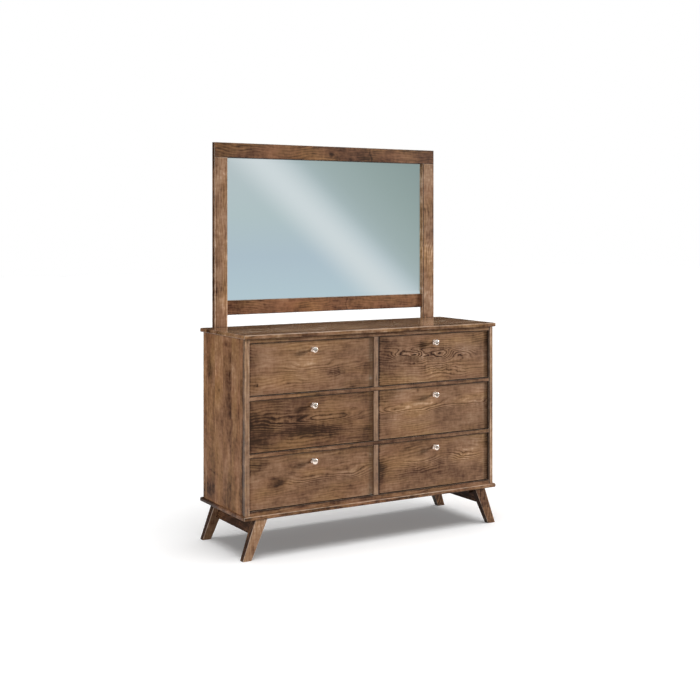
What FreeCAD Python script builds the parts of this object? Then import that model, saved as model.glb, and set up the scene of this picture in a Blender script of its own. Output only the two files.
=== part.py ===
import FreeCAD, Part

import operator
import os
from types import SimpleNamespace

import Sketcher

# Six-drawer dresser with a framed mirror, in millimetres, +Z up.
# The front faces -Y and the origin lies on the floor, below the middle of the whole piece.

SIZES = {
    # Top board and base board, of one plan
    "top_width": 1422.0,
    "top_depth": 488.0,
    "top_thickness": 19.0,
    "base_thickness": 19.0,
    "nose_radius": 6.0,
    "side_overhang": 10.0,
    "front_overhang": 16.5,
    "rear_overhang": 16.5,
    # Case
    "side_thickness": 19.0,
    "partition_thickness": 19.0,
    "back_thickness": 6.0,
    "back_rebate": 9.0,
    "housing_depth": 6.0,
    # Face frame
    "frame_thickness": 19.0,
    "stile_width": 24.0,
    "mullion_width": 24.0,
    "rail_height": 20.0,
    "opening_height": 240.0,
    "tenon_thickness": 6.0,
    "rail_tenon_length": 12.0,
    "mullion_tenon_length": 6.0,
    "rail_shoulder": 4.0,
    "mullion_shoulder": 5.0,
    # Legs and aprons
    "leg_height": 182.0,
    "leg_top_width": 61.0,
    "leg_top_depth": 41.0,
    "leg_foot_width": 44.0,
    "leg_foot_depth": 30.0,
    "leg_splay": 64.5,
    "leg_end_inset": 62.5,
    "leg_front_inset": 11.0,
    "leg_rear_inset": 5.0,
    "leg_chamfer": 1.5,
    "apron_height": 77.0,
    "apron_thickness": 20.0,
    "apron_setback": 29.0,
    "apron_tenon_length": 20.0,
    "apron_tenon_shoulder": 6.0,
    "corner_block_size": 24.0,
    # Drawer fronts and boxes
    "front_recess": 8.0,
    "front_gap": 2.0,
    "front_thickness": 20.0,
    "front_chamfer": 1.2,
    "box_height": 190.0,
    "box_rise": 20.0,
    "box_board": 12.0,
    "bottom_thickness": 6.0,
    "bottom_rise": 10.0,
    "groove_depth": 6.0,
    "tail_slope": 2.0,
    # Telescopic slides
    "slide_gap": 12.7,
    "slide_height": 45.0,
    "slide_length": 400.0,
    "slide_setback": 2.0,
    "slide_steel": 1.2,
    "slide_lip": 2.0,
    "web_clearance": 0.6,
    "race_gap": 3.8,
    "cage_clearance": 0.3,
    "cage_length": 100.0,
    "cage_width": 4.5,
    "flange_reach": 10.5,
    "intermediate_length": 380.0,
    "blocking_margin": 10.0,
    # Knobs
    "knob_projection": 27.0,
    "knob_head_diameter": 30.0,
    "knob_face_diameter": 20.0,
    "knob_bevel_rise": 4.0,
    "knob_rim_thickness": 4.0,
    "knob_head_flare": 6.0,
    "knob_neck_diameter": 11.0,
    "knob_flange_diameter": 23.0,
    "knob_flange_thickness": 2.5,
    "knob_flange_slope": 2.0,
    "knob_drop": 41.0,
    "knob_screw_diameter": 4.0,
    "knob_screw_bite": 10.0,
    "knob_screw_head_diameter": 8.0,
    "knob_screw_head_height": 2.5,
    "knob_hole_clearance": 0.25,
    # Mirror
    "mirror_inset": 64.0,
    "mirror_height": 901.0,
    "mirror_thickness": 25.0,
    "mirror_post_width": 70.0,
    "mirror_top_rail_height": 73.0,
    "mirror_bottom_rail_height": 71.5,
    "mirror_bottom_rail_rise": 57.5,
    "mirror_bottom_rail_recess": 10.0,
    "mirror_tenon_length": 25.0,
    "mirror_tenon_thickness": 6.0,
    "mirror_tenon_shoulder": 12.0,
    "mirror_chamfer": 1.2,
    "glass_setback": 15.0,
    "glass_thickness": 5.0,
    "glass_rebate": 10.0,
    "glass_clearance": 0.5,
    "glass_bevel_width": 28.0,
    "glass_bevel_depth": 2.0,
    "backing_thickness": 4.0,
    # Mirror supports behind the posts
    "support_width": 46.0,
    "support_thickness": 19.0,
    "support_rise": 480.0,
    "support_drop": 300.0,
    # Wood screws
    "screw_diameter": 4.0,
    "screw_head_diameter": 8.0,
    "screw_head_height": 3.0,
    "screw_bite": 14.0,
    "screw_end_distance": 40.0,
    # How far a cutting tool runs past the face that it opens
    "overrun": 5.0,
}

TAILS = 4
TAIL_SHARE = 0.62
ROWS = ("bottom", "middle", "top")
COLUMNS = {"left": -1, "right": 1}
SIDES = (-1, 1)
TOLERANCE = 1e-6
OPERATIONS = {"+": operator.add, "-": operator.sub, "*": operator.mul, "/": operator.truediv}


class Length:
    """A size that knows its value and the formula that ties it to the sheet."""

    def __init__(self, value, formula):
        self.value = value
        self.formula = formula

    def __float__(self):
        return self.value

    def __add__(self, other):
        return joined(self, "+", other)

    def __sub__(self, other):
        return joined(self, "-", other)

    def __mul__(self, other):
        return joined(self, "*", other)

    def __truediv__(self, other):
        return joined(self, "/", other)

    def __rmul__(self, other):
        return joined(other, "*", self)

    def __neg__(self):
        return joined(-1, "*", self)


def formula_of(term):
    return term.formula if isinstance(term, Length) else f"({term})"


def joined(left, sign, right):
    """Two terms joined by one operation, value and formula alike."""
    value = OPERATIONS[sign](float(left), float(right))
    return Length(value, f"({formula_of(left)} {sign} {formula_of(right)})")


def write_sheet():
    """Put the driving sizes into a sheet and read them back as lengths."""
    sheet = doc.addObject("Spreadsheet::Sheet", "Sizes")
    for row, (name, value) in enumerate(SIZES.items(), start=1):
        sheet.set(f"A{row}", name)
        sheet.set(f"B{row}", str(value))
        sheet.setAlias(f"B{row}", name)
    doc.recompute()
    return SimpleNamespace(**{name: Length(float(sheet.get(name)), f"Sizes.{name}") for name in SIZES})


doc = FreeCAD.newDocument("Dresser")
s = write_sheet()
nodes = []
ZERO = s.overrun - s.overrun
UPRIGHT = FreeCAD.Rotation(FreeCAD.Vector(1, 0, 0), 90)


def span(one, other):
    """The two limits in rising order."""
    return (one, other) if float(one) <= float(other) else (other, one)


def bind(obj, **lengths):
    for name, length in lengths.items():
        obj.setExpression(name, length.formula)
    return obj


def place(obj, x, y, z, rotation=None):
    """Put an object at a point whose coordinates follow the sheet."""
    if rotation is not None:
        obj.Placement = FreeCAD.Placement(FreeCAD.Vector(), rotation)
    for axis, length in zip("xyz", (x, y, z)):
        obj.setExpression(f"Placement.Base.{axis}", length.formula)
    return obj


def block(x, y, z):
    """A square block between two limits on each axis."""
    box = doc.addObject("Part::Box", "Block")
    bind(box, Length=x[1] - x[0], Width=y[1] - y[0], Height=z[1] - z[0])
    return place(box, x[0], y[0], z[0])


def tapered(z, bottom, top):
    """A block between two levels whose rectangles there, each an (x, y) pair of limits, differ."""
    wedge = doc.addObject("Part::Wedge", "Tapered")
    wedge.Placement = FreeCAD.Placement(FreeCAD.Vector(), UPRIGHT)
    (low_x, low_y), (high_x, high_y) = bottom, top
    bind(wedge, Xmin=low_x[0], Xmax=low_x[1], Zmin=-low_y[1], Zmax=-low_y[0])
    bind(wedge, X2min=high_x[0], X2max=high_x[1], Z2min=-high_y[1], Z2max=-high_y[0])
    return bind(wedge, Ymin=z[0], Ymax=z[1])


def rod(diameter, length):
    cylinder = doc.addObject("Part::Cylinder", "Rod")
    return bind(cylinder, Radius=diameter / 2, Height=length)


def cut(base, *tools):
    """Take each tool away from the base in turn."""
    for tool in tools:
        result = doc.addObject("Part::Cut", "Shaped")
        result.Base, result.Tool = base, tool
        base = result
    return base


def fuse(*pieces):
    result = doc.addObject("Part::MultiFuse", "Joined")
    result.Shapes = list(pieces)
    return result


def gather(pieces):
    """Separate solids kept together."""
    result = doc.addObject("Part::Compound", "Group")
    result.Links = list(pieces)
    return result


def chamfered(base, size, wanted):
    """Ease the edges whose middle and direction the test accepts."""
    doc.recompute()
    result = doc.addObject("Part::Chamfer", "Eased")
    result.Base = base
    chosen = [number for number, edge in enumerate(base.Shape.Edges, start=1) if wanted(edge)]
    result.Edges = [(number, float(size), float(size)) for number in chosen]
    return result


def node(name, obj):
    """Give a finished piece the name of its node."""
    obj.Label = name
    nodes.append(obj)
    return obj


def new_sketch(body, role):
    """A sketch on one of its own body's origin planes."""
    sketch = body.newObject("Sketcher::SketchObject", "Outline")
    plane = next(feature for feature in body.Origin.OriginFeatures if feature.Role == role)
    sketch.AttachmentSupport = (plane, [""])
    sketch.MapMode = "FlatFace"
    return sketch


def outline(body, role, corners):
    """A closed outline of straight lines, each corner held by two sizes of the sheet."""
    sketch = new_sketch(body, role)
    points = [FreeCAD.Vector(float(u), float(v), 0) for u, v in corners]
    ends = points[1:] + points[:1]
    sketch.addGeometry([Part.LineSegment(one, other) for one, other in zip(points, ends)], False)
    count = len(points)
    ties = [Sketcher.Constraint("Coincident", i, 2, (i + 1) % count, 1) for i in range(count)]
    formulas = {}
    for i, corner in enumerate(corners):
        for direction, axis, length in zip(("DistanceX", "DistanceY"), (-2, -1), corner):
            if float(length) == 0:
                ties.append(Sketcher.Constraint("PointOnObject", i, 1, axis))
                continue
            formulas[len(ties)] = length.formula
            ties.append(Sketcher.Constraint(direction, -1, 1, i, 1, float(length)))
    sketch.addConstraint(ties)
    for number, formula in formulas.items():
        sketch.setExpression(f"Constraints[{number}]", formula)
    return sketch


def padded(role, corners, length, name="Board"):
    """A body made from one outline pushed out to a thickness."""
    body = doc.addObject("PartDesign::Body", name)
    pad = body.newObject("PartDesign::Pad", "Thickness")
    pad.Profile = outline(body, role, corners)
    bind(pad, Length=length)
    return body


def turned(corners, name="Turned"):
    """A body turned about its upright axis, from corners given as radius and height."""
    body = doc.addObject("PartDesign::Body", name)
    profile = outline(body, "XZ_Plane", corners)
    turning = body.newObject("PartDesign::Revolution", "Turning")
    turning.Profile = profile
    turning.ReferenceAxis = (profile, ["V_Axis"])
    turning.Angle = 360
    return body


# Levels above the floor
body_height = s.rail_height * (len(ROWS) + 1) + s.opening_height * len(ROWS)
base_top = s.leg_height + s.base_thickness
body_top = base_top + body_height
top_level = body_top + s.top_thickness
mirror_top = top_level + s.mirror_height

# Places across the width
half_top = s.top_width / 2
half_body = half_top - s.side_overhang
opening_inner = s.mullion_width / 2
opening_outer = half_body - s.stile_width

# Places through the depth, from the knobs in front to the mirror supports behind
body_depth = s.top_depth - s.front_overhang - s.rear_overhang
knob_reach = s.knob_projection - s.front_recess
rear_reach = body_depth + s.rear_overhang + s.support_thickness
body_front = (knob_reach - rear_reach) / 2
body_back = body_front + body_depth
board_front = body_front - s.front_overhang
board_back = body_back + s.rear_overhang
frame_back = body_front + s.frame_thickness
back_panel_front = body_back - s.back_thickness
face_front = body_front + s.front_recess
box_front = face_front + s.front_thickness
slide_front = box_front + s.slide_setback
slide_back = slide_front + s.slide_length
mirror_back = board_back
mirror_front = mirror_back - s.mirror_thickness


def board(thickness, bottom):
    """The top's and base's plan, its front and end edges softened by a round nose."""
    x, y = (-half_top, half_top), (board_front, board_back)
    body = padded("XY_Plane", [(x[0], y[0]), (x[1], y[0]), (x[1], y[1]), (x[0], y[1])], thickness)
    place(body, ZERO, ZERO, bottom)
    doc.recompute()
    pad = body.Tip
    rear = float(board_back)
    chosen = [
        f"Edge{number}"
        for number, edge in enumerate(pad.Shape.Edges, start=1)
        if edge.CenterOfMass.y < rear - float(s.overrun)
    ]
    nose = body.newObject("PartDesign::Fillet", "Nose")
    nose.Base = (pad, chosen)
    bind(nose, Radius=s.nose_radius)
    return body


def side_panel(side):
    """A side panel, let into both boards and rebated for the back."""
    x = span(side * half_body, side * (half_body - s.side_thickness))
    z = (base_top - s.housing_depth, body_top + s.housing_depth)
    rebate_x = span(
        side * (half_body - s.side_thickness + s.back_rebate),
        side * (half_body - s.side_thickness - s.overrun),
    )
    rebate_z = (z[0] - s.overrun, z[1] + s.overrun)
    rebate = block(rebate_x, (back_panel_front, body_back + s.overrun), rebate_z)
    return cut(block(x, (frame_back, body_back), z), rebate)


def rail(index):
    """A rail across the whole front with a tenon at each end."""
    low = base_top + (s.rail_height + s.opening_height) * index
    high = low + s.rail_height
    length = (-opening_outer, opening_outer)
    reach = opening_outer + s.rail_tenon_length
    bar = block(length, (body_front, frame_back), (low, high))
    tenon = block((-reach, reach), tenon_depth(), (low + s.rail_shoulder, high - s.rail_shoulder))
    return fuse(bar, tenon)


def tenon_depth():
    """Limits in Y of the tenons, in the middle of the frame's thickness."""
    middle = body_front + s.frame_thickness / 2
    return (middle - s.tenon_thickness / 2, middle + s.tenon_thickness / 2)


def mullion(index):
    """A short upright between two rails, tenoned into both."""
    low = opening_bottom(index)
    high = low + s.opening_height
    reach = s.mullion_tenon_length
    half_tenon = opening_inner - s.mullion_shoulder
    bar = block((-opening_inner, opening_inner), (body_front, frame_back), (low, high))
    tenon = block((-half_tenon, half_tenon), tenon_depth(), (low - reach, high + reach))
    return fuse(bar, tenon)


def opening_bottom(index):
    return base_top + s.rail_height + (s.rail_height + s.opening_height) * index


def opening_limits(side):
    return span(side * opening_inner, side * opening_outer)


# Case and face frame

left_side = side_panel(-1)
right_side = side_panel(1)
half_partition = s.partition_thickness / 2
partition = block(
    (-half_partition, half_partition),
    (frame_back, back_panel_front),
    (base_top - s.housing_depth, body_top + s.housing_depth),
)
back_edge = half_body - s.side_thickness + s.back_rebate
back_panel = block((-back_edge, back_edge), (back_panel_front, body_back), (base_top, body_top))
plain_rails = [rail(index) for index in range(len(ROWS) + 1)]
uprights = [mullion(index) for index in range(len(ROWS))]


def stile(side):
    x = span(side * half_body, side * opening_outer)
    return cut(block(x, (body_front, frame_back), (base_top, body_top)), *plain_rails)


node("left_side_panel", left_side)
node("right_side_panel", right_side)
node("centre_partition", partition)
node("left_stile", stile(-1))
node("right_stile", stile(1))
rail_names = ("bottom_rail", "lower_divider_rail", "upper_divider_rail", "top_rail")
for index, name in enumerate(rail_names):
    neighbours = uprights[max(index - 1, 0) : index + 1]
    node(name, cut(plain_rails[index], *neighbours))
node("mullions", gather(uprights))


# Legs, aprons and corner blocks

drop_slope = s.leg_splay / s.leg_height
inner_slope = (s.leg_splay + s.leg_top_width - s.leg_foot_width) / s.leg_height
depth_slope = (s.leg_top_depth - s.leg_foot_depth) / s.leg_height
leg_outer = half_top - s.leg_end_inset
front_leg_front = board_front + s.leg_front_inset
rear_leg_back = board_back - s.leg_rear_inset
apron_outer = leg_outer - s.apron_setback


def leg_section(side, rear, drop):
    """Limits of a leg's section at a depth below the base board."""
    outer = leg_outer + drop_slope * drop
    inner = leg_outer - s.leg_top_width + inner_slope * drop
    thickness = s.leg_top_depth - depth_slope * drop
    x = span(side * outer, side * inner)
    if rear:
        return (x, (rear_leg_back - thickness, rear_leg_back))
    return (x, (front_leg_front, front_leg_front + thickness))


def is_long(edge):
    return edge.BoundBox.ZLength > float(s.leg_height) / 2


def leg(side, rear):
    """A tapered leg that leans outward, its long edges eased."""
    foot, top = leg_section(side, rear, s.leg_height), leg_section(side, rear, ZERO)
    blank = tapered((ZERO, s.leg_height), foot, top)
    return chamfered(blank, s.leg_chamfer, is_long)


def apron_section(side, drop, shoulder, reach):
    """Limits of an apron's section at a depth below the base board, from leg to leg."""
    outer = apron_outer + drop_slope * drop - shoulder
    inner = apron_outer - s.apron_thickness + drop_slope * drop + shoulder
    (_, front_leg), (_, rear_leg) = leg_section(side, False, drop), leg_section(side, True, drop)
    return (span(side * outer, side * inner), (front_leg[1] - reach, rear_leg[0] + reach))


def apron_piece(side, top_drop, bottom_drop, shoulder, reach):
    levels = (s.leg_height - bottom_drop, s.leg_height - top_drop)
    bottom = apron_section(side, bottom_drop, shoulder, reach)
    return tapered(levels, bottom, apron_section(side, top_drop, shoulder, reach))


def corner_block(side, rear):
    """A glue block in the corner of leg, apron and base board."""
    levels = (s.leg_height - s.corner_block_size, s.leg_height)
    ends = []
    for drop in (s.corner_block_size, ZERO):
        inner = apron_outer - s.apron_thickness + drop_slope * drop
        far = apron_outer - s.apron_thickness - s.corner_block_size
        _, leg_depth = leg_section(side, rear, drop)
        _, top_depth = leg_section(side, rear, ZERO)
        if rear:
            y = (top_depth[0] - s.corner_block_size, leg_depth[0])
        else:
            y = (leg_depth[1], top_depth[1] + s.corner_block_size)
        ends.append((span(side * inner, side * far), y))
    return tapered(levels, ends[0], ends[1])


def wood_screw(length):
    """A countersunk screw, its head at the origin and its point along +Z."""
    head, shank = s.screw_head_diameter / 2, s.screw_diameter / 2
    point = length - s.screw_diameter
    corners = [(ZERO, ZERO), (head, ZERO), (shank, s.screw_head_height), (shank, point), (ZERO, length)]
    return turned(corners, "Screw")


screws = []
corner_blocks = []
base_screws = []
for side, column in zip(SIDES, COLUMNS):
    shoulder_piece = apron_piece(side, ZERO, s.apron_height, ZERO, ZERO)
    tenon_piece = apron_piece(
        side,
        s.apron_tenon_shoulder,
        s.apron_height - s.apron_tenon_shoulder,
        s.apron_tenon_shoulder,
        s.apron_tenon_length,
    )
    node(f"{column}_apron", fuse(shoulder_piece, tenon_piece))
    for rear, end in ((False, "front"), (True, "rear")):
        node(f"{end}_{column}_leg", cut(leg(side, rear), tenon_piece))
        _, (y_low, y_high) = leg_section(side, rear, ZERO)
        half_block = s.corner_block_size / 2
        screw = place(
            wood_screw(s.corner_block_size + s.screw_bite),
            side * (apron_outer - s.apron_thickness - half_block),
            y_low - half_block if rear else y_high + half_block,
            s.leg_height - s.corner_block_size,
        )
        base_screws.append(screw)
        corner_blocks.append(cut(corner_block(side, rear), screw))
node("corner_blocks", gather(corner_blocks))
base_board = board(s.base_thickness, s.leg_height)
node("base_board", cut(base_board, left_side, right_side, partition, *base_screws))


# Mirror frame, glass and the battens that hold it up

half_mirror = half_top - s.mirror_inset
post_inner = half_mirror - s.mirror_post_width
rail_bottom = mirror_top - s.mirror_top_rail_height
sill_bottom = top_level + s.mirror_bottom_rail_rise
sill_top = sill_bottom + s.mirror_bottom_rail_height
glass_front = mirror_front + s.glass_setback
glass_back = glass_front + s.glass_thickness
sill_front = mirror_front + s.mirror_bottom_rail_recess
glass_opening = block(
    (-post_inner - s.glass_rebate, post_inner + s.glass_rebate),
    (glass_front, mirror_back + s.overrun),
    (sill_top - s.glass_rebate, rail_bottom + s.glass_rebate),
)


def tongue(front):
    """Limits in Y of a tenon in the middle of a member's thickness."""
    middle = (front + mirror_back) / 2
    return (middle - s.mirror_tenon_thickness / 2, middle + s.mirror_tenon_thickness / 2)


def is_front_edge(level):
    """A test for the edges that lie in one plane facing the front."""
    place_y = float(level)
    return lambda edge: max(abs(edge.BoundBox.YMax - place_y), abs(edge.BoundBox.YMin - place_y)) < TOLERANCE


sill_tenon_reach = post_inner + s.mirror_tenon_length
sill = fuse(
    chamfered(
        block((-post_inner, post_inner), (sill_front, mirror_back), (sill_bottom, sill_top)),
        s.mirror_chamfer,
        is_front_edge(sill_front),
    ),
    block(
        (-sill_tenon_reach, sill_tenon_reach),
        tongue(sill_front),
        (sill_bottom + s.mirror_tenon_shoulder, sill_top - s.mirror_tenon_shoulder),
    ),
)
post_tenons = {}
for side in SIDES:
    tenon_outer, tenon_inner = half_mirror - s.mirror_tenon_shoulder, post_inner + s.mirror_tenon_shoulder
    tenon_z = (rail_bottom - s.overrun, rail_bottom + s.mirror_tenon_length)
    post_tenons[side] = block(span(side * tenon_outer, side * tenon_inner), tongue(mirror_front), tenon_z)
head = chamfered(
    block((-half_mirror, half_mirror), (mirror_front, mirror_back), (rail_bottom, mirror_top)),
    s.mirror_chamfer,
    is_front_edge(mirror_front),
)

support_screws = []
edge_screws = []
supports = []
batten = (mirror_back, mirror_back + s.support_thickness)
support_top = top_level + s.support_rise
support_bottom = body_top - s.support_drop
post_levels = (support_top - s.screw_end_distance, top_level + s.screw_end_distance)
post_bite = s.support_thickness + s.screw_bite
back_bite = s.support_thickness + s.rear_overhang + s.back_thickness
for side, column in zip(SIDES, COLUMNS):
    middle = side * (half_mirror - s.mirror_post_width / 2)
    x = (middle - s.support_width / 2, middle + s.support_width / 2)
    post_screws = [place(wood_screw(post_bite), middle, batten[1], level, UPRIGHT) for level in post_levels]
    edge_screw = place(wood_screw(post_bite), middle, batten[1], body_top + s.top_thickness / 2, UPRIGHT)
    back_screw_level = support_bottom + s.screw_end_distance
    back_screw = place(wood_screw(back_bite), middle, batten[1], back_screw_level, UPRIGHT)
    edge_screws.append(edge_screw)
    support_screws.extend([*post_screws, edge_screw, back_screw])
    upright = block(x, batten, (support_bottom, support_top))
    supports.append(cut(upright, *post_screws, edge_screw, back_screw))
    packing = block(x, (body_back, board_back), (support_bottom, body_top))
    supports.append(cut(packing, back_screw))
    back_panel = cut(back_panel, back_screw)
    post = chamfered(
        block(
            span(side * half_mirror, side * post_inner),
            (mirror_front, mirror_back),
            (top_level, rail_bottom),
        ),
        s.mirror_chamfer,
        is_front_edge(mirror_front),
    )
    drilled = fuse(cut(post, *post_screws), post_tenons[side])
    node(f"mirror_{column}_post", cut(drilled, glass_opening, sill))
node("mirror_top_rail", cut(head, glass_opening, *post_tenons.values()))
node("mirror_bottom_rail", cut(sill, glass_opening))
node("back_panel", back_panel)
node("mirror_supports", gather(supports))
node("screws", gather(base_screws + support_screws))
top_board = board(s.top_thickness, body_top)
node("top_board", cut(top_board, left_side, right_side, partition, *edge_screws))

glass_half = post_inner + s.glass_rebate - s.glass_clearance
glass_low = sill_top - s.glass_rebate + s.glass_clearance
glass_high = rail_bottom + s.glass_rebate - s.glass_clearance
bevel_back = glass_front + s.glass_bevel_depth
glass_plate = block((-glass_half, glass_half), (bevel_back, glass_back), (glass_low, glass_high))
glass_face = doc.addObject("Part::Wedge", "Bevel")
bind(glass_face, Ymin=glass_front, Ymax=bevel_back, X2min=-glass_half, X2max=glass_half)
bind(glass_face, Xmin=s.glass_bevel_width - glass_half, Xmax=glass_half - s.glass_bevel_width)
bind(glass_face, Zmin=glass_low + s.glass_bevel_width, Zmax=glass_high - s.glass_bevel_width)
bind(glass_face, Z2min=glass_low, Z2max=glass_high)
node("mirror_glass", fuse(glass_plate, glass_face))
backing_back = glass_back + s.backing_thickness
backing = block((-glass_half, glass_half), (glass_back, backing_back), (glass_low, glass_high))
node("mirror_backing", backing)


# Drawers, their slides and knobs

box_depth = s.slide_setback + s.slide_length
box_back = box_front + box_depth
pitch = s.box_height / TAILS
half_tail = pitch * TAIL_SHARE / 2


def tail_corners(end, shoulder, bottom):
    """Corners of one row of dovetails, from the lowest to the highest."""
    corners = []
    narrow = half_tail - s.tail_slope
    for number in range(TAILS):
        middle = bottom + pitch * number + pitch / 2
        corners.append((shoulder, middle - narrow))
        corners.append((end, middle - half_tail))
        corners.append((end, middle + half_tail))
        corners.append((shoulder, middle + narrow))
    return corners


def drawer_side(x, bottom):
    """A side board with a row of dovetails at each end."""
    front_shoulder = box_front + s.box_board
    back_shoulder = box_back - s.box_board
    top = bottom + s.box_height
    front_row = tail_corners(box_front, front_shoulder, bottom)
    back_row = tail_corners(box_back, back_shoulder, bottom)
    corners = [(front_shoulder, bottom), *front_row, (front_shoulder, top)]
    corners += [(back_shoulder, top), *reversed(back_row), (back_shoulder, bottom)]
    return place(padded("YZ_Plane", corners, s.box_board, "DrawerSide"), x[0], ZERO, ZERO)


def drawer_box(opening, bottom, knob_hole):
    """Two dovetailed sides, a front, a back and a bottom held in grooves."""
    outer = (opening[0] + s.slide_gap, opening[1] - s.slide_gap)
    inner = (outer[0] + s.box_board, outer[1] - s.box_board)
    tray = block(
        (inner[0] - s.groove_depth, inner[1] + s.groove_depth),
        (box_front + s.box_board - s.groove_depth, box_back - s.box_board + s.groove_depth),
        (bottom + s.bottom_rise, bottom + s.bottom_rise + s.bottom_thickness),
    )
    z = (bottom, bottom + s.box_height)
    sides = [drawer_side(x, bottom) for x in ((outer[0], inner[0]), (inner[1], outer[1]))]
    front_y = (box_front, box_front + s.box_board)
    back_y = (box_back - s.box_board, box_back)
    inner_front = cut(block(outer, front_y, z), *sides, tray, knob_hole)
    inner_back = cut(block(outer, back_y, z), *sides, tray)
    return gather([*(cut(board_, tray) for board_ in sides), inner_front, inner_back, tray])


def channel(wall, side, near, far, open_outward, height, length):
    """A steel channel between two distances from a wall, its web near or far from it.

    One that opens outward has lips turned in along its flanges, which keep the balls in their race.
    """
    middle, half = height
    steel = s.slide_steel
    run = (length[0] - s.overrun, length[1] + s.overrun)
    shell = block(span(wall + side * near, wall + side * far), length, (middle - half, middle + half))
    hollow = (near + steel, far - steel) if open_outward else (near - s.overrun, far - steel)
    inside = half - steel
    across = span(wall + side * hollow[0], wall + side * hollow[1])
    core = block(across, run, (middle - inside, middle + inside))
    if not open_outward:
        return cut(shell, core)
    mouth_half = inside - s.slide_lip
    mouth = block(
        span(wall + side * hollow[0], wall + side * (far + s.overrun)),
        run,
        (middle - mouth_half, middle + mouth_half),
    )
    return cut(shell, core, mouth)


def cages(wall, side, middle, inner_half, outer_half, start):
    """The two ball cages, above and below, between two nested channels."""
    near = (s.slide_steel + s.web_clearance) * 2
    low, high = inner_half + s.cage_clearance, outer_half - s.cage_clearance
    y = (start, start + s.cage_length)
    across = span(wall + side * near, wall + side * (near + s.cage_width))
    return [block(across, y, span(middle + sign * low, middle + sign * high)) for sign in SIDES]


def slide_set(wall, side, middle):
    """One telescopic slide: its cabinet member, its intermediate with cages, its drawer member."""
    outer_half = s.slide_height / 2
    middle_half = outer_half - s.slide_steel - s.race_gap
    inner_half = middle_half - s.slide_steel - s.race_gap
    web = s.slide_steel + s.web_clearance
    full = (slide_front, slide_back)
    short = (slide_front, slide_front + s.intermediate_length)
    cabinet = channel(wall, side, ZERO, s.flange_reach, True, (middle, outer_half), full)
    carrier = channel(wall, side, web, s.flange_reach, True, (middle, middle_half), short)
    drawer = channel(
        wall, side, web + s.slide_steel + s.web_clearance, s.slide_gap, False, (middle, inner_half), full
    )
    rear_start = short[1] - s.cage_length
    outer_cages = cages(wall, side, middle, middle_half, outer_half - s.slide_steel, rear_start)
    inner_cages = cages(wall, side, middle, inner_half, middle_half - s.slide_steel, short[0])
    return cabinet, [carrier, *outer_cages, *inner_cages], drawer


def knob(x, z):
    """A bevelled knob on a flange with its machine screw, and the hole that the screw passes through."""
    head, neck, flange = s.knob_head_diameter / 2, s.knob_neck_diameter / 2, s.knob_flange_diameter / 2
    shoulder = s.knob_projection - s.knob_bevel_rise
    rim = shoulder - s.knob_rim_thickness
    corners = [
        (ZERO, ZERO),
        (flange, ZERO),
        (flange, s.knob_flange_thickness),
        (neck, s.knob_flange_thickness + s.knob_flange_slope),
        (neck, rim - s.knob_head_flare),
        (head, rim),
        (head, shoulder),
        (s.knob_face_diameter / 2, s.knob_projection),
        (ZERO, s.knob_projection),
    ]
    handle = place(turned(corners, "Knob"), x, face_front, z, UPRIGHT)
    grip = s.front_thickness + s.box_board
    screw_back = face_front + grip
    reach = s.knob_screw_bite + grip
    shank = rod(s.knob_screw_diameter, reach)
    place(shank, x, screw_back, z, UPRIGHT)
    screw_head = rod(s.knob_screw_head_diameter, s.knob_screw_head_height)
    place(screw_head, x, screw_back + s.knob_screw_head_height, z, UPRIGHT)
    hole = rod(s.knob_screw_diameter + s.knob_hole_clearance * 2, reach)
    place(hole, x, screw_back, z, UPRIGHT)
    return gather([cut(handle, shank), fuse(shank, screw_head)]), hole


cabinet_members = []
blocking = []
for row, row_name in enumerate(ROWS):
    low = opening_bottom(row)
    box_bottom = low + s.box_rise
    slide_middle = box_bottom + s.box_height / 2
    for column, column_side in COLUMNS.items():
        name = f"{row_name}_{column}"
        opening = opening_limits(column_side)
        face_x = (opening[0] + s.front_gap, opening[1] - s.front_gap)
        face_z = (low + s.front_gap, low + s.opening_height - s.front_gap)
        handle, hole = knob((opening[0] + opening[1]) / 2, face_z[1] - s.knob_drop)
        face = block(face_x, (face_front, box_front), face_z)
        eased = chamfered(face, s.front_chamfer, is_front_edge(face_front))
        node(f"{name}_drawer_front", cut(eased, hole))
        node(f"{name}_drawer_box", drawer_box(opening, box_bottom, hole))
        node(f"{name}_knob", handle)
        carriers, drawer_members = [], []
        for wall, side in ((opening[0], 1), (opening[1], -1)):
            cabinet, carrier, drawer = slide_set(wall, side, slide_middle)
            cabinet_members.append(cabinet)
            carriers.extend(carrier)
            drawer_members.append(drawer)
        node(f"{name}_slide_intermediates", gather(carriers))
        node(f"{name}_slide_drawer_members", gather(drawer_members))
        strip_half = s.slide_height / 2 + s.blocking_margin
        strip_z = (slide_middle - strip_half, slide_middle + strip_half)
        strip_y = (frame_back, back_panel_front)
        outer_wall = half_body - s.side_thickness
        for near, far in ((half_partition, opening_inner), (opening_outer, outer_wall)):
            blocking.append(block(span(column_side * near, column_side * far), strip_y, strip_z))
node("slide_cabinet_members", gather(cabinet_members))
node("slide_blocking", gather(blocking))


# Check every object, then write one file for each node

doc.recompute()
for obj in doc.Objects:
    if "Invalid" in obj.State or "Error" in obj.State:
        raise RuntimeError(f"{obj.Name} ({obj.Label}) failed: {obj.State}")
os.makedirs("parts", exist_ok=True)
for piece in nodes:
    shape = piece.Shape
    if shape.isNull() or not shape.isValid() or not shape.Solids:
        raise RuntimeError(f"{piece.Label} has no valid solid")
for piece in nodes:
    piece.Shape.exportStep(f"parts/{piece.Label}.step")
print(f"{len(nodes)} nodes, {sum(len(piece.Shape.Solids) for piece in nodes)} solids")
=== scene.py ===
"""Finishes, hardware and studio for a six-drawer dresser with a framed mirror."""
import math
from functools import partial

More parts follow.
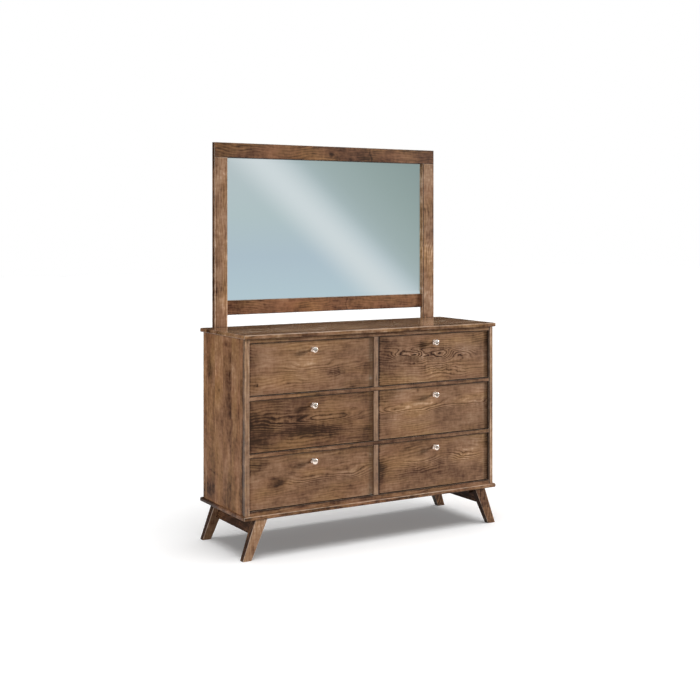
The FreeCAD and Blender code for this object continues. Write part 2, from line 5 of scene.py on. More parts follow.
import bpy
from bpy.props import FloatProperty, FloatVectorProperty, PointerProperty
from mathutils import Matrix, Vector


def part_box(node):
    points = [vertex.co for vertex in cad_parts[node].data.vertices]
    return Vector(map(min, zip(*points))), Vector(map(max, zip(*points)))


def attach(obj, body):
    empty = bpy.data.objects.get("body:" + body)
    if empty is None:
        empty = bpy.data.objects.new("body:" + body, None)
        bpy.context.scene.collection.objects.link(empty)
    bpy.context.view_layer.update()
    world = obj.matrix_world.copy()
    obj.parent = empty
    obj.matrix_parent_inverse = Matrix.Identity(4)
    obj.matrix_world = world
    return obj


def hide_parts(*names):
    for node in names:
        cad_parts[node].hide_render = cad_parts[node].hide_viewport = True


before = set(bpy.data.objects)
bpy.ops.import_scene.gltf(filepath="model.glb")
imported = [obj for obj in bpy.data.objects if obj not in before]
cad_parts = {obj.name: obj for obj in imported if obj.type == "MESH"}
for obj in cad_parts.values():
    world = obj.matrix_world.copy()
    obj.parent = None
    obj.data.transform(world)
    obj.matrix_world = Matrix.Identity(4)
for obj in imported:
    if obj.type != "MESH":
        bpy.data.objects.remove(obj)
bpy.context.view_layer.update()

bl_info = {
    "name": "Dresser with mirror",
    "version": (1, 0, 0),
    "blender": (4, 5, 0),
    "location": "3D View > Sidebar > Dresser",
    "description": "Stains the boards, turns the knobs, silvers the mirror and sets up the studio",
    "category": "Object",
}

MM = 0.001
ROWS = ("bottom", "middle", "top")
COLUMNS = ("left", "right")
ABOVE_FLOOR = 0.02  # where the studio's screens start, in metres
DRAWERS = [f"{row}_{column}" for row in ROWS for column in COLUMNS]


def linear(text):
    """An sRGB hex value as linear red, green, blue and alpha."""
    parts = [int(text[i : i + 2], 16) / 255 for i in (1, 3, 5)]
    return [*(c / 12.92 if c <= 0.04045 else ((c + 0.055) / 1.055) ** 2.4 for c in parts), 1.0]


def colour(name, text):
    return FloatVectorProperty(
        name=name, description=f"{name} as it looks in plain light", subtype="COLOR",
        size=4, min=0, max=1, default=linear(text),
    )


def length(name, description, millimetres):
    return FloatProperty(name=name, description=description, unit="LENGTH", default=millimetres * MM)


class DRESSER_PG_stain(bpy.types.PropertyGroup):
    """Colours of the glazed brown stain on maple, from the darkest pores to the rubbed edges."""

    pore: colour("Pores", "#2F1807")
    deep: colour("Deep glaze", "#43291A")
    dark: colour("Dark streaks", "#664733")
    middle: colour("Stain", "#856248")
    tan: colour("Tan", "#977459")
    light: colour("Light streaks", "#AC896C")
    limed: colour("Rubbed through", "#D2BBA6")
    red: colour("Red heart", "#86502F")
    gold: colour("Golden sapwood", "#8C6A3C")
    line_spacing: length("Growth lines", "Distance between two growth lines on a plain-sawn board", 13)
    arris: length("Arris", "Width of the edge where the glaze is rubbed away", 3)


class DRESSER_PG_bare(bpy.types.PropertyGroup):
    """Colours of what isn't stained."""

    birch: colour("Birch", "#D9BC92")
    poplar: colour("Poplar", "#C2AA7C")
    hardboard: colour("Hardboard", "#6E4A2E")
    nickel: colour("Satin nickel", "#F2E2D6")
    zinc: colour("Zinc plate", "#B4B6B8")
    silver: colour("Silvered glass", "#E4ECEC")


class DRESSER_PG_knob(bpy.types.PropertyGroup):
    """Sizes of a turned knob, from the drawer's face outward."""

    flange: length("Flange", "Radius of the flange", 11.5)
    flange_edge: length("Flange edge", "Thickness of the flange at its rim", 1.6)
    neck: length("Neck", "Radius of the neck", 5.2)
    neck_start: length("Neck start", "Where the flange has narrowed to the neck", 6)
    neck_end: length("Neck end", "Where the neck starts to flare into the head", 11.5)
    head: length("Head", "Radius of the head", 15)
    face: length("Face", "Radius of the head's flat face", 7)
    rim: length("Rim", "Radius of the head's rounded rim", 2.2)
    rim_level: length("Rim level", "Distance of the rim's middle from the drawer's face", 20.2)
    reach: length("Reach", "Distance of the crown from the drawer's face", 27)
    screw_head: length("Screw head", "Radius of the machine screw's head", 4)
    screw_rise: length("Screw head height", "Height of the machine screw's head", 2.5)
    shank: length("Shank", "Radius of the machine screw's shank", 2)


class DRESSER_PG_fasteners(bpy.types.PropertyGroup):
    """Sizes and spacing of the small fasteners."""

    screw: length("Screw head", "Radius of a pan-head screw", 3.6)
    screw_rise: length("Screw rise", "Height of a pan-head screw", 1.8)
    nail: length("Nail head", "Radius of a panel nail", 2.2)
    nail_rise: length("Nail rise", "Height of a panel nail's head", 0.6)
    nail_spacing: length("Nail spacing", "Distance between the nails of the back panel", 90)
    button: length("Turn button", "Half the length of a turn button", 13)
    button_rise: length("Turn button rise", "Height of a turn button with its screw", 2.6)
    button_spacing: length("Turn button spacing", "Distance between two buttons of the mirror's back", 270)


class DRESSER_PG_stage(bpy.types.PropertyGroup):
    """Camera, lamps and surroundings."""

    camera_place: FloatVectorProperty(
        name="Camera", description="Where the camera stands", subtype="TRANSLATION",
        size=3, default=(-3.0570, -5.0969, 1.5109),
    )
    camera_turn: FloatProperty(
        name="Camera turn", description="Turn of the level camera about the upright axis",
        subtype="ANGLE", default=math.radians(-30.9),
    )
    lens: FloatProperty(name="Lens", description="Focal length in millimetres", default=61.4)
    shift: FloatProperty(name="Shift", description="Downward shift of the frame", default=-0.1764)
    floor: colour("Floor", "#F4F4F4")
    flag: colour("Dark screen behind", "#3A302A")
    low_flag: colour("Low screen in front", "#8F8A84")
    camera_side: colour("Room behind the camera", "#6A6B69")
    near_high: colour("Mirror, high on the left", "#CAD1D4")
    near_middle: colour("Mirror, left", "#C5D1D4")
    near_low: colour("Mirror, low on the left", "#C1CED9")
    near_bottom: colour("Mirror, bottom left", "#C7D6DF")
    far_near: colour("Mirror, right of the streak", "#BFCACE")
    far_middle: colour("Mirror, further right", "#AFBBBB")
    far_aside: colour("Mirror, at the right", "#A5B2B0")
    far_edge: colour("Mirror, right edge", "#9BA8A6")
    streak: colour("Light streak", "#E5E8EB")
    panel: colour("Light panel, right", "#FFF4EC")


class DRESSER_PG_settings(bpy.types.PropertyGroup):
    """All that a user would change."""

    stain: PointerProperty(type=DRESSER_PG_stain)
    bare: PointerProperty(type=DRESSER_PG_bare)
    knob: PointerProperty(type=DRESSER_PG_knob)
    fasteners: PointerProperty(type=DRESSER_PG_fasteners)
    stage: PointerProperty(type=DRESSER_PG_stage)


def add_node(tree, kind, inputs=(), output=0, **settings):
    """Add a node with its settings; each input is a value or the socket that feeds it.

    A kind without "Node" in it is a shader node, and what follows a space is its operation. Inputs go by
    name or in the order of the sockets: a map range's value, what it comes from and what it goes to.
    """
    kind, *operation = kind.split()
    node = tree.nodes.new(kind if "Node" in kind else f"ShaderNode{kind}")
    if operation:
        node.operation = operation[0]
    for name, value in settings.items():
        setattr(node, name, value)
    for key, value in inputs.items() if isinstance(inputs, dict) else enumerate(inputs):
        if isinstance(value, bpy.types.NodeSocket):
            tree.links.new(value, node.inputs[key])
        else:
            node.inputs[key].default_value = value
    return node.outputs[output] if node.outputs else node


def new_material(name):
    """An empty material and what adds a node to it."""
    material = bpy.data.materials.new(name)
    material.use_nodes = True
    material.node_tree.nodes.clear()
    return material, partial(add_node, material.node_tree)


def new_group(name, kind, inputs, outputs):
    """A node group with its named sockets, what adds a node to it, and the values that it is given."""
    tree = bpy.data.node_groups.new(name, kind)
    for way, sockets in (("INPUT", inputs), ("OUTPUT", outputs)):
        for socket, value in sockets.items():
            tree.interface.new_socket(socket, in_out=way, socket_type=f"NodeSocket{value}")
    add = partial(add_node, tree)
    return tree, add, add("NodeGroupInput").node.outputs


def new_mesh(name, points, faces=()):
    mesh = bpy.data.meshes.new(name)
    mesh.from_pydata(points, [], faces)
    return mesh


def new_object(name, data):
    """An object that is in the scene."""
    obj = bpy.data.objects.new(name, data)
    bpy.context.scene.collection.objects.link(obj)
    return obj


def set_ramp(add, factor, stops):
    """A colour ramp through stops of (position, colour)."""
    result = add("ValToRGB", (factor,))
    ramp = result.node.color_ramp
    while len(ramp.elements) < len(stops):
        ramp.elements.new(0.5)
    for element, (position, value) in zip(ramp.elements, stops):
        element.position = position
        element.color = value
    return result


def ovals(add, place, spots):
    """Sum of soft ovals, each (along, across, half length, half width, strength) in millimetres."""
    total = None
    for along, across, reach, half_width, strength in spots:
        spot = (along * MM, across * MM, 0)
        away = add("VectorMath SUBTRACT", (place, spot))
        scale = (1 / (reach * MM), 1 / (half_width * MM), 0)
        away = add("VectorMath MULTIPLY", (away, scale))
        distance = add("VectorMath LENGTH", (away,), "Value")
        fade = add("MapRange", (distance, 0.15, 1.5, strength, 0.0), interpolation_type="SMOOTHSTEP")
        total = fade if total is None else add("Math ADD", (total, fade))
    return total or 0.0


def make_figure(stain):
    """The grain of stained maple, from a place given along, across and through the board in metres."""
    numbers = dict.fromkeys(("Seed", "Swirl", "Cloud", "Curl", "Red", "Contrast"), "Float")
    tree, add, given = new_group(
        "Maple figure", "ShaderNodeTree", {"Place": "Vector", **numbers},
        {"Color": "Color", "Height": "Float"})
    place, seed, curl = given["Place"], given["Seed"], given["Curl"]

    def noise(scale, detail, roughness=0.5):
        """Noise about zero, of so many waves in a metre along, across and through the board."""
        stretched = add("VectorMath MULTIPLY", (place, scale))
        value = add(
            "TexNoise",
            {"Vector": stretched, "W": seed, "Scale": 1.0, "Detail": detail, "Roughness": roughness},
            noise_dimensions="4D")
        return add("Math SUBTRACT", (value, 0.5))

    def weigh(total, *parts):
        """The total plus each part times its weight."""
        for part, weight in parts:
            total = add("Math MULTIPLY_ADD", (part, weight, total))
        return total

    # Growth lines are the contours of a surface that slopes across the board and is bent by slow waves.
    # They are drawn far coarser than maple's, which are too fine to show in a picture of the whole dresser.
    split = add("SeparateXYZ", (place,)).node.outputs
    ripple = add("Math MULTIPLY", (noise((20, 38, 38), 3.0), curl))
    field = weigh(
        given["Swirl"], (split[1], 1 / stain.line_spacing), (split[2], 0.7 / stain.line_spacing),
        (noise((2.2, 5.5, 5.5), 2.0), 9.0), (ripple, 4.2), (noise((11, 30, 30), 2.0), 1.6))
    drift = add("Math MULTIPLY", (split[0], 16.0))
    bent = add("CombineXYZ", (field, drift))
    streak = add(
        "TexNoise", {"Vector": bent, "W": seed, "Scale": 1.1, "Detail": 4.0, "Roughness": 0.65},
        noise_dimensions="4D")
    streak = add("Math SUBTRACT", (streak, 0.5))
    wave = add("Math SINE", (add("Math MULTIPLY", (field, math.tau)),))
    dark_line, light_line = (
        add("Math POWER", (add(f"Math {side}", (wave, 0.0)), 3.0)) for side in ("MAXIMUM", "MINIMUM"))
    wave = weigh(dark_line, (light_line, 0.6))
    # The lines fade out in patches, and show most where the grain curls or swirls
    swirling = add("Math ABSOLUTE", (given["Swirl"],))
    presence = add("MapRange", (noise((5, 11, 11), 1.0), -0.12, 0.14, -0.02, -0.13))
    presence = weigh(presence, (curl, -0.26), (swirling, -0.08))
    fibre = noise((18, 150, 150), 3.0, 0.55)
    fiddle = add("Math MULTIPLY", (noise((85, 13, 13), 2.0), curl))
    tone = weigh(
        add("Math MULTIPLY", (wave, presence)),
        (streak, 0.34), (noise((8, 14, 14), 4.0, 0.62), 0.6), (noise((2.5, 6, 6), 1.0), 0.4),
        (fibre, 0.36), (noise((75, 40, 40), 2.0), 0.3), (fiddle, 0.6))
    middle = 0.525
    tone = weigh(middle, (weigh(given["Cloud"], (tone, given["Contrast"])), 1.0))
    tinted = set_ramp(add, tone, (
        (0.08, stain.pore), (0.2, stain.deep), (0.33, stain.dark), (0.47, stain.middle),
        (0.6, stain.tan), (0.76, stain.light), (0.95, stain.limed),
    ))
    redness = add("MapRange", (noise((3.5, 9, 9), 2.0), -0.1, 0.25, 0.0, 0.3))
    redness = add("Math ADD", (redness, given["Red"]), use_clamp=True)
    goldness = add("MapRange", (noise((4.5, 12, 12), 2.0), -0.06, 0.16, 0.0, 0.4))
    # Red and gold tint the wood and keep the lightness that the ramp gave
    for amount, tint in ((redness, stain.red), (goldness, stain.gold)):
        tinted = add("Mix", {0: amount, 6: tinted, 7: tint}, 2, data_type="RGBA", blend_type="COLOR")
    add("NodeGroupOutput", {"Color": tinted, "Height": weigh(fibre, (streak, 0.6))})
    return tree


def stain_board(
    node, axes, seed, tone=0.0, red=0.0, clouds=(), bands=(), eyes=(), curls=(), staves=None, contrast=1.0,
    joint=(6, 0.14), rub=(1.0, 0.7), lime=0.0, side_light_and_shade=0.0, gloss=(0.42, 0.14), polish=0.0, wood="maple",
):
    """Maple with a wiped brown stain and satin lacquer: the eye sees dark glaze in joints and pores,
    arrises rubbed pale, and a soft sheen.

    axes names the part's axis that runs along, across and through the board. Clouds and bands are ovals
    that lighten or darken it; clouds stray a little and bands run straight. Growth lines swirl round the
    eyes and ripple in the curls. staves is how wide the glued staves are and how much they differ. joint
    is how far in and how much the glaze darkens the board's outline. rub widens and strengthens the worn
    arris, and lime lightens the whole board. The argument after lime is painted shade on the narrow sides,
    or painted light where it is above zero. gloss is roughness and specular level, and polish is that level
    on what looks up. Lengths are in millimetres.
    """
    stain = bpy.context.scene.dresser.stain
    figure = bpy.data.node_groups.get("Maple figure") or make_figure(stain)
    material, add = new_material(f"Stained {wood}, {node.replace('_', ' ')}")
    low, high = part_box(node)
    middle = (low + high) / 2
    half = [(high["xyz".index(axis)] - low["xyz".index(axis)]) / 2 for axis in axes]
    point = add("TexCoord", output="Object")
    point = add("VectorMath SUBTRACT", (point, middle))
    split = add("SeparateXYZ", (point,)).node.outputs
    along, across, through = (split["xyz".index(axis)] for axis in axes)
    place = add("CombineXYZ", (along, across, through))
    wander = add(
        "TexNoise", {"Vector": place, "W": seed, "Scale": 22.0, "Detail": 3.0}, "Color",
        noise_dimensions="4D",
    )
    wander = add("VectorMath SUBTRACT", (wander, (0.5, 0.5, 0.5)))
    straying = (0.07, 0.03, 0.0)
    wander = add("VectorMath MULTIPLY", (wander, straying))
    strayed = add("VectorMath ADD", (place, wander))
    cloud = add("Math ADD", (ovals(add, strayed, clouds), tone))
    if bands:
        cloud = add("Math ADD", (cloud, ovals(add, place, bands)))
    if staves:
        width, difference = staves
        number = add("Math DIVIDE", (across, width * MM))
        number = add("Math ADD", (number, seed + 0.37))
        number = add("Math FLOOR", (number,))
        chance = add("TexWhiteNoise", {"W": number}, noise_dimensions="1D")
        offset = add("Math SUBTRACT", (chance, 0.5))
        cloud = add("Math MULTIPLY_ADD", (offset, difference, cloud))
        seed = add("Math MULTIPLY_ADD", (chance, 20.0, seed))
    gaps = [
        add("Math SUBTRACT", (reach, add("Math ABSOLUTE", (coordinate,))))
        for coordinate, reach in zip((along, across), half)
    ]
    edge = add("Math MINIMUM", gaps)
    glaze = add("MapRange", (edge, 0.0, joint[0] * MM, -joint[1], 0.0), interpolation_type="SMOOTHSTEP")
    cloud = add("Math ADD", (cloud, glaze))
    flat = add("NewGeometry", output="Normal")
    turned = add("SeparateXYZ", (add("VectorMath ABSOLUTE", (flat,)),)).node.outputs
    # Painted shade on the faces that look across the board, its narrow sides; a positive amount paints light
    # there instead
    if side_light_and_shade:
        aside = add("MapRange", (turned["xyz".index(axes[1])], 0.6, 0.8, 0.0, side_light_and_shade))
        cloud = add("Math ADD", (cloud, aside))
    grain = add(
        "Group",
        {"Place": place, "Seed": seed, "Swirl": ovals(add, place, eyes), "Cloud": cloud,
         "Curl": ovals(add, strayed, curls), "Red": red, "Contrast": contrast},
        node_tree=figure).node.outputs
    eased = add("Bevel", {"Radius": stain.arris / 3}, samples=4)
    rounded = add("Bevel", {"Radius": stain.arris * rub[0]}, samples=6)
    agreement = add("VectorMath DOT_PRODUCT", (rounded, flat), "Value")
    # An eased or rounded edge faces none of the part's own directions
    squareness = add("Math MAXIMUM", (turned[0], turned[1]))
    squareness = add("Math MAXIMUM", (squareness, turned[2]))
    squareness = add("Math ADD", (squareness, 0.07))
    agreement = add("Math MINIMUM", (agreement, squareness))
    worn_patches = add(
        "TexNoise", {"Vector": place, "W": seed, "Scale": 35.0, "Detail": 3.0}, noise_dimensions="4D",
    )
    patchy = add("MapRange", (worn_patches, 0.35, 0.6, rub[1] * 0.35, rub[1]))
    # Hands and cloths reach the edges that look forward, up and left; the others keep their glaze
    handled = (-0.35, -1.2, 0.6)
    reached = add("VectorMath DOT_PRODUCT", (rounded, handled), "Value")
    reached = add("MapRange", (reached, 0.6, 1.05, 0.0, patchy))
    rubbed = add("MapRange", (agreement, 0.985, 0.86, 0.0, reached))
    limed = add("MapRange", (worn_patches, 0.3, 0.7, lime * 0.5, lime * 1.3))
    rubbed = add("Math ADD", (rubbed, limed), use_clamp=True)
    worn = add("Mix", {0: rubbed, 6: grain["Color"], 7: stain.limed}, 2, data_type="RGBA")
    bump = add("Bump", {"Strength": 0.08, "Distance": 0.001, "Height": grain["Height"], "Normal": eased})
    level = gloss[1]
    if polish:
        upright = add("SeparateXYZ", (flat,)).node.outputs[2]
        level = add("MapRange", (upright, 0.85, 0.97, gloss[1], polish))
    shader = add(
        "BsdfPrincipled",
        {"Base Color": worn, "Roughness": gloss[0], "IOR": 1.5, "Specular IOR Level": level, "Normal": bump},
    )
    add("OutputMaterial", {"Surface": shader})
    dress(node, material)


def plain_wood(name, base, grain_axis, contrast=0.12, roughness=0.55, grain=6.0):
    """Bare or clear-sealed wood: the eye sees straight grain, pale or brown, and a dull sheen.

    Its lines are grain millimetres apart, coarser than real ones, which would be too fine to show.
    """
    material, add = new_material(name)
    point = add("TexCoord", output="Object")
    scale = [1 / (grain * MM)] * 3
    scale["xyz".index(grain_axis)] = 1 / (grain * 23 * MM)
    stretched = add("VectorMath MULTIPLY", (point, scale))
    fibre = add("TexNoise", {"Vector": stretched, "Scale": 1.0, "Detail": 4.0})
    slow = add("TexNoise", {"Vector": point, "Scale": 6.0, "Detail": 2.0})
    tone = add("Math ADD", (fibre, slow))
    darker = [c * (1 - contrast * 2.2) for c in base[:3]] + [1.0]
    lighter = [min(1.0, c * (1 + contrast)) for c in base[:3]] + [1.0]
    tone = add("Math MULTIPLY", (tone, 0.5))
    shade = set_ramp(add, tone, ((0.3, darker), (0.7, lighter)))
    bump = add("Bump", {"Strength": 0.1, "Distance": 0.0005, "Height": fibre})
    shader = add("BsdfPrincipled", {"Base Color": shade, "Roughness": roughness, "Normal": bump})
    add("OutputMaterial", {"Surface": shader})
    return material


def plated_metal(name, base, roughness, spread, scratch=1.2):
    """Plated metal with a satin grain: the eye sees a soft highlight, broken up by fine scratches.

    They are scratch millimetres apart, coarser than real ones, which would be too fine to show.
    """
    material, add = new_material(name)
    point = add("TexCoord", output="Object")
    fine = 1 / (scratch * MM)
    stretched = add("VectorMath MULTIPLY", (point, (fine, fine, fine / 4)))
    lines = add("TexNoise", {"Vector": stretched, "Scale": 1.0, "Detail": 2.0})
    rough = add("MapRange", (lines, 0.3, 0.7, roughness - spread, roughness + spread))
    shader = add("BsdfPrincipled", {"Base Color": base, "Metallic": 1.0, "Roughness": rough})
    add("OutputMaterial", {"Surface": shader})
    return material


def silvered_glass(name, base):
    """Silvered float glass: the eye sees the room, a little cool and very slightly wavy."""
    material, add = new_material(name)
    point = add("TexCoord", output="Object")
    wave = add("TexNoise", {"Vector": point, "Scale": 3.0, "Detail": 1.0})
    # Polishing leaves the bevel rounder than a flat cut, so it turns what it reflects only a little
    flat = add("NewGeometry", output="Normal")
    soft = add("VectorMath MULTIPLY", (flat, (0.35, 1.0, 0.35)))
    soft = add("VectorMath NORMALIZE", (soft,))
    bump = add("Bump", {"Strength": 0.02, "Distance": 0.001, "Height": wave, "Normal": soft})
    shader = add("BsdfPrincipled", {"Base Color": base, "Metallic": 1.0, "Roughness": 0.02, "Normal": bump})
    add("OutputMaterial", {"Surface": shader})
    return material


def coated(mesh, material):
    """The mesh, with this material alone."""
    mesh.materials.clear()
    mesh.materials.append(material)
    return mesh


def dress(node, material):
    """Give a CAD node its finish."""
    coated(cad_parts[node].data, material)


def new_piece(name, mesh, material, body):
    """A finished piece of the dresser that rides on a body."""
    obj = new_object(name, coated(mesh, material))
    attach(obj, body)
    return obj


# Clouds, bands, eyes and curls are (along, across, half length, half width, strength) in millimetres
# from a board's middle. WHOLE is half the length of one that runs past both ends of any board.
WHOLE = 3000
# Painted light along a front's top and bottom edges thins the shade that the rails and gaps leave there.
# At the fronts' ends, painted shade darkens the gaps beside the stiles and mullion and deepens the
# shadow that the right stile casts. Painted light thins the shadows that the mullion and the right stile
# cast, and the right-hand fronts are a little darker towards their left ends.
PAINTED_LIGHT_ALONG_RAILS = ((0, -119, WHOLE, 4.5, 0.26), (0, 119, WHOLE, 5, 0.16))
FRONT_END_LIGHT_AND_SHADE = {
    "left": ((-329, 0, 7, WHOLE, -0.16), (320, 0, 18, WHOLE, 0.2)),
    "right": (
        (-326, 0, 8, WHOLE, -0.3), (-300, 0, 60, WHOLE, -0.06), (334, 0, 10, WHOLE, -0.2),
        (306, 0, 14, WHOLE, 0.1),
    ),
}
FIGURES = {
    "top_left": {
        "tone": 0.01,
        "clouds": (
            (-90, 24, 150, 34, 0.12), (124, -34, 48, 22, -0.2), (293, -26, 30, 40, -0.16),
            (-293, -70, 9, 8, -0.35), (-300, -60, 34, 30, -0.12), (-318, 10, 30, 110, -0.1),
        ),
        "eyes": ((40, -10, 260, 30, 1.2),),
        "curls": ((124, -46, 70, 26, 0.5), (-100, -76, 90, 14, 0.3)),
    },
    "top_right": {
        "tone": -0.01,
        "clouds": (
            (-75, 72, 40, 13, -0.2), (-277, 60, 60, 50, -0.1), (-148, 12, 40, 26, -0.1),
            (200, 26, 60, 26, 0.1), (90, -10, 200, 30, 0.04), (-250, -60, 70, 40, -0.08),
        ),
        "eyes": (
            (-165, 20, 80, 26, 3.0), (-90, 14, 60, 26, 2.4), (31, 8, 80, 24, 3.0), (164, 20, 80, 34, -3.0),
        ),
        "curls": ((-60, 14, 300, 60, 0.75), (50, -66, 170, 40, 0.65)),
    },
    "middle_left": {
        "tone": -0.16,
        "contrast": 1.0,
        "clouds": (
            (6, -44, 165, 30, -0.26), (-277, 22, 90, 36, -0.16), (-300, -43, 80, 50, -0.14),
            (130, 60, 130, 34, 0.14), (-120, 10, 120, 26, -0.1), (222, 45, 25, 3, -0.25),
            (262, -7, 22, 3, -0.25), (300, -50, 30, 60, -0.1),
        ),
        "eyes": ((110, 10, 170, 20, 1.8), (-100, -6, 220, 34, 1.6)),
        "curls": ((-140, 16, 240, 42, 0.5), (60, -50, 110, 30, 0.4)),
    },
    "middle_right": {
        "tone": 0.03,
        "clouds": (
            (-98, 103, 9, 8, -0.25), (247, -80, 110, 32, 0.06), (-19, 3, 120, 14, -0.06),
            (-260, 70, 60, 40, -0.05),
        ),
        "eyes": ((-30, 12, 230, 34, 2.6), (225, 18, 110, 28, 2.0), (-255, 12, 100, 26, 1.8)),
        "curls": ((290, 10, 60, 30, 0.6), (-230, -20, 100, 30, 0.3)),
    },
    "bottom_left": {
        "tone": -0.01,
        "clouds": (
            (-197, -4, 55, 26, -0.27), (-194, -50, 75, 20, -0.1), (-277, 87, 70, 18, -0.14),
            (140, 90, 60, 14, -0.08),
        ),
        "eyes": ((190, -4, 130, 36, 2.2), (-20, -10, 110, 30, 1.4)),
        "curls": ((-30, -14, 120, 26, 0.3), (200, 0, 110, 24, 0.2)),
    },
    "bottom_right": {
        "tone": -0.01,
        "clouds": (
            (-306, -14, 26, 70, -0.22), (-110, -36, 130, 34, -0.14), (89, 22, 14, 40, -0.14),
            (-160, 90, 160, 24, -0.1), (172, 14, 90, 46, 0.1), (-227, -86, 75, 22, 0.1),
        ),
        "eyes": ((-60, 20, 120, 24, 1.8), (190, 10, 90, 40, 1.6)),
        "curls": ((172, 30, 90, 40, 0.5), (-60, -16, 150, 36, 0.5)),
    },
}


class DRESSER_OT_case(bpy.types.Operator):
    """Stain the top, the base, the sides, the back and the face frame"""

    bl_idname = "dresser.case"
    bl_label = "Case and face frame"

    def execute(self, context):
        bare = context.scene.dresser.bare
        board_edge = {"joint": (7, 0.1), "rub": (1.4, 0.9)}
        stain_board(
            "top_board", "xyz", 3.1, tone=0.12, staves=(110, 0.16), contrast=1.65, gloss=(0.14, 0.1),
            polish=1.0, **board_edge)
        stain_board(
            "base_board", "xyz", 5.3, tone=-0.07, red=0.15, bands=((-708, 190, 14, 170, -0.4),),
            contrast=1.5, **board_edge)
        clouds = (
            (138, 33, 9, 12, -0.3), (-335, 127, 50, 45, -0.2), (-255, 107, 5, 60, -0.16),
            (360, -50, 14, 60, -0.14), (-300, -158, 130, 18, 0.16), (300, -160, 110, 36, 0.14),
            (160, -72, 160, 22, -0.14), (-60, -96, 200, 16, -0.12), (-200, -215, 220, 10, -0.3),
            (-330, 20, 120, 300, -0.1), (200, 0, 200, 60, 0.06), (330, 200, 200, 14, 0.12),
            (240, 150, 160, 14, -0.1),
        )
        stain_board(
            "left_side_panel", "zyx", 7.7, red=0.15, clouds=clouds, bands=((0, -228, WHOLE, 14, -0.2),),
            staves=(92, 0.09), contrast=1.35, rub=(1.0, 0.3), gloss=(0.5, 0.06))
        stain_board("right_side_panel", "zyx", 9.2, staves=(92, 0.12))
        # Painted shade darkens the stiles' narrow sides
        frame_edge = {"joint": (2, 0.1), "rub": (1.0, 0.4), "contrast": 1.5, "side_light_and_shade": -0.2}
        stain_board(
            "left_stile", "zxy", 11.4, lime=0.12,
            bands=((0, -8, WHOLE, 4, 0.12), (0, 11, WHOLE, 4, 0.16)), **frame_edge)
        # Painted shade along the right stile's inner edge stands in for the shadow it casts on the recessed
        # fronts, beside a pale line
        stain_board(
            "right_stile", "zxy", 12.9, lime=0.08,
            bands=((0, -12, WHOLE, 7, -0.7), (0, 1, WHOLE, 4, 0.3)), **frame_edge)
        # Painted shade darkens the rails' edges beside the drawer fronts, for the shade of the gaps and the
        # fronts' recess, on top of the glaze in the joints; on the bottom rail it also covers the upper half
        glazed = ((0, 9.5, WHOLE, 3, -0.42), (0, -9.5, WHOLE, 2, -0.32))
        for number, (rail, tone, bands) in enumerate((
            ("bottom", -0.04, ((0, 8, WHOLE, 8, -0.18), (0, 9.5, WHOLE, 3, -0.5))),
            ("lower_divider", -0.05, glazed), ("upper_divider", -0.05, glazed),
            ("top", 0.0, ((0, -9.5, WHOLE, 2, -0.4),)),
        )):
            stain_board(
                f"{rail}_rail", "xzy", 14.0 + number * 1.3, tone, bands=bands, contrast=1.3, joint=(3, 0.03))
        # Painted shade along the mullions' right edge stands in for the shade of the gap beside them
        stain_board(
            "mullions", "zxy", 21.5, tone=0.02, lime=0.15, joint=(3, 0.05), contrast=1.5, rub=(1.0, 0.3),
            bands=((0, -9, WHOLE, 3, 0.1), (0, 5, WHOLE, 3, 0.12), (0, 13, WHOLE, 4, -0.5)))
        stain_board("back_panel", "zxy", 23.1, tone=-0.02, wood="plywood")
        dress("centre_partition", plain_wood("Poplar, partition", bare.poplar, "z"))
        dress("slide_blocking", plain_wood("Poplar, packing strips", bare.poplar, "y"))
        return {"FINISHED"}


class DRESSER_OT_base(bpy.types.Operator):
    """Stain the legs and aprons"""

    bl_idname = "dresser.base"
    bl_label = "Legs and aprons"

    def execute(self, context):
        # A leg's narrow sides get painted shade, for the shade that the other parts cast on them
        for number, (leg, tone, side_light_and_shade) in enumerate((
            ("front_left", 0.16, -0.5), ("front_right", -0.17, -0.5),
            ("rear_left", 0.12, -0.6), ("rear_right", -0.2, -0.5),
        )):
            stain_board(
                f"{leg}_leg", "zxy", 31 + number, tone, contrast=1.6, joint=(5, 0.05), rub=(1.6, 1.2),
                side_light_and_shade=side_light_and_shade)
        # The aprons' and corner blocks' dark tone is painted shade, for the shade under the base board
        for column in COLUMNS:
            stain_board(f"{column}_apron", "yzx", 37.0, tone=-0.34, contrast=1.5)
        stain_board("corner_blocks", "yzx", 39.0, tone=-0.3, rub=(0.5, 0.2))
        return {"FINISHED"}


class DRESSER_OT_fronts(bpy.types.Operator):
    """Stain the six drawer fronts, each from its own board"""

    bl_idname = "dresser.fronts"
    bl_label = "Drawer fronts"

    def execute(self, context):
        for number, drawer in enumerate(DRAWERS):
            column = drawer.split("_")[1]
            figure = {"contrast": 1.12, **FIGURES[drawer]}
            # Each front takes the painted light and shade of its column's ends and along the rails
            stain_board(
                f"{drawer}_drawer_front", "xzy", 41.0 + number * 2.7, bands=FRONT_END_LIGHT_AND_SHADE[column] + PAINTED_LIGHT_ALONG_RAILS,
                joint=(3, 0.03), **figure)
        return {"FINISHED"}


